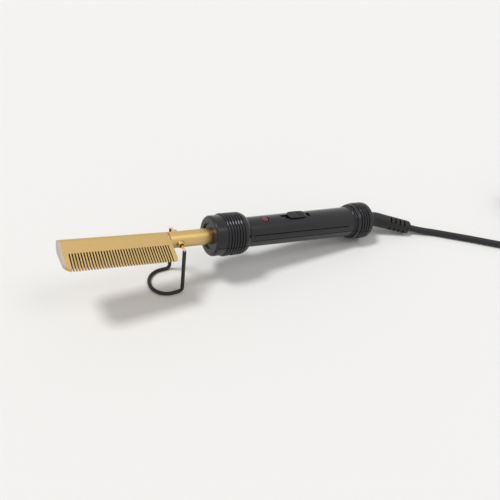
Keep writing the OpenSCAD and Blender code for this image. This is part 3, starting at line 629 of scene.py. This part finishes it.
# rubbery PVC of the cord: nearly black, dull and slightly uneven
def cordPvc():
    material, shader = startMaterial("cordPvc", "#212124",
                                     {"Roughness": 0.5, "IOR": 1.52, "Specular IOR Level": 0.3})
    skin = grain(material, 0.5, detail=3)
    mixColours(material, shader, skin.outputs["Fac"], "#1a1a1d", "#27272b")
    spread(material, shader, skin.outputs["Fac"], 0.42, 0.58)
    roughen(material, shader, skin.outputs["Fac"], 0.01, 0.5)
    return material


# soft PVC of the strain relief: black, with a faint shine from the mould
def bootPvc():
    material, shader = startMaterial("bootPvc", "#18181b",
                                     {"Roughness": 0.42, "IOR": 1.52, "Specular IOR Level": 0.3})
    skin = grain(material, 0.5)
    mixColours(material, shader, skin.outputs["Fac"], "#131315", "#1c1c1f")
    roughen(material, shader, skin.outputs["Fac"], 0.01, 0.5, edge=0.25)
    return material


# woven nylon of the cord tie: dark, matt, with its threads showing
def tieNylon():
    material, shader = startMaterial("tieNylon", "#2c2c2e", {"Roughness": 0.8, "Sheen Weight": 0.3})
    place = addNode(material, "ShaderNodeTexCoord")
    threads = addNode(material, "ShaderNodeTexChecker", {"Scale": 1 / (0.7 * mm)},
                      {"Vector": place.outputs["Object"]})
    mixColours(material, shader, threads.outputs["Fac"], "#232325", "#3a3a3d")
    roughen(material, shader, threads.outputs["Fac"], 0.1)
    return material


# hard PVC of the plug: black with a moulded satin skin
def plugPvc():
    material, shader = startMaterial("plugPvc", "#242426", {"Roughness": 0.4, "IOR": 1.53})
    skin = grain(material, 0.4)
    mixColours(material, shader, skin.outputs["Fac"], "#1f1f21", "#2c2c2e")
    roughen(material, shader, skin.outputs["Fac"], 0.008, 0.5, edge=0.8)
    return material


# each finish and the nodes that have it
finishes = {
    blastedBrass: ["comb_head"],
    sandedSteel: ["comb_end_cap"],
    drawnBrass: ["neck_tube", "pivot_bosses"],
    brassWire: ["stand_wire"],
    turnedSteel: ["heater_cartridge", "tube_ring"],
    zincSteel: ["board_screws", "clamp_screws"],
    blackenedSteel: ["shell_screws"],
    nickelPins: ["plug_pins"],
    glassSleeving: ["heater_leads"],
    fuseCeramic: ["thermal_fuse"],
    siliconeSleeve: ["stand_sleeve"],
    phenolicBush: ["heat_bush"],
    handlePlastic: ["upper_shell", "lower_shell"],
    redLens: ["indicator_lens"],
    diodeResin: ["indicator_led"],
    resistorLacquer: ["led_resistor"],
    boardLaminate: ["circuit_board"],
    terminalPolyamide: ["lead_terminal"],
    thumbPlastic: ["switch_thumb"],
    leverAcetal: ["switch_lever"],
    housingPolyamide: ["switch_housing", "cord_clamp"],
    leadPvc: ["supply_leads"],
    cordPvc: ["cord_tail", "mains_cord", "cord_to_plug", "cord_coil"],
    bootPvc: ["strain_relief"],
    tieNylon: ["coil_tie"],
    plugPvc: ["plug_body"],
}


def finishNodes():
    for make, names in finishes.items():
        material = make()
        for name in names:
            for slot in nodes[name].material_slots:
                slot.material = material


finishNodes()
for piece, finish in ((cord, "cordPvc"), (tie, "tieNylon"), (plug, "plugPvc")):
    piece.data.materials.clear()
    piece.data.materials.append(bpy.data.materials[finish])
print("finishes given")

# the floor's side in metres; each lamp is a sun with the direction that it shines from
studio = {
    "floorSize": 6,
    "floorColour": "#f7f6f4",
    "sky": 0.45,
    "backdropColour": "#f6f6f4",
    "key": {"from": (-0.4, 0.15, 0.9), "angle": radians(14), "power": 1.5},
    "fill": {"from": (0.41, -0.36, 0.84), "angle": radians(26), "power": 0.3},
}


def makeFloor():
    deselectAll()
    bpy.ops.mesh.primitive_plane_add(size=studio["floorSize"], location=(0, 0, 0))
    floor = bpy.context.object
    floor.name = "floor"
    material = startMaterial("palePaper", studio["floorColour"], {"Roughness": 0.9})[0]
    floor.data.materials.append(material)


# the sky lights the pieces, and the camera, metal and glass see the pale backdrop in its place
def makeLights():
    world = bpy.data.worlds.new("studio")
    bpy.context.scene.world = world
    world.use_nodes = True
    tree = world.node_tree
    sky = tree.nodes["Background"]
    sky.inputs["Color"].default_value = colour("#ffffff")
    sky.inputs["Strength"].default_value = studio["sky"]
    shown = tree.nodes.new("ShaderNodeBackground")
    shown.inputs["Color"].default_value = colour(studio["backdropColour"])
    rays = tree.nodes.new("ShaderNodeLightPath")
    seen = None
    for kind in ("Is Camera Ray", "Is Glossy Ray", "Is Transmission Ray"):
        if seen is None:
            seen = rays.outputs[kind]
            continue
        either = tree.nodes.new("ShaderNodeMath")
        either.operation = "MAXIMUM"
        tree.links.new(seen, either.inputs[0])
        tree.links.new(rays.outputs[kind], either.inputs[1])
        seen = either.outputs["Value"]
    choice = tree.nodes.new("ShaderNodeMixShader")
    tree.links.new(seen, choice.inputs[0])
    tree.links.new(sky.outputs["Background"], choice.inputs[1])
    tree.links.new(shown.outputs["Background"], choice.inputs[2])
    tree.links.new(choice.outputs["Shader"], tree.nodes["World Output"].inputs["Surface"])
    for name in ("key", "fill"):
        data = bpy.data.lights.new(name, "SUN")
        data.angle = studio[name]["angle"]
        data.energy = studio[name]["power"]
        lamp = bpy.data.objects.new(name, data)
        bpy.context.scene.collection.objects.link(lamp)
        lamp.location = studio[name]["from"]
        lamp.rotation_mode = "QUATERNION"
        lamp.rotation_quaternion = (-Vector(studio[name]["from"])).to_track_quat("-Z", "Y")


makeFloor()
makeLights()
bpy.context.scene.view_settings.view_transform = "Standard"
print("floor and lights placed")

bpy.context.view_layer.update()
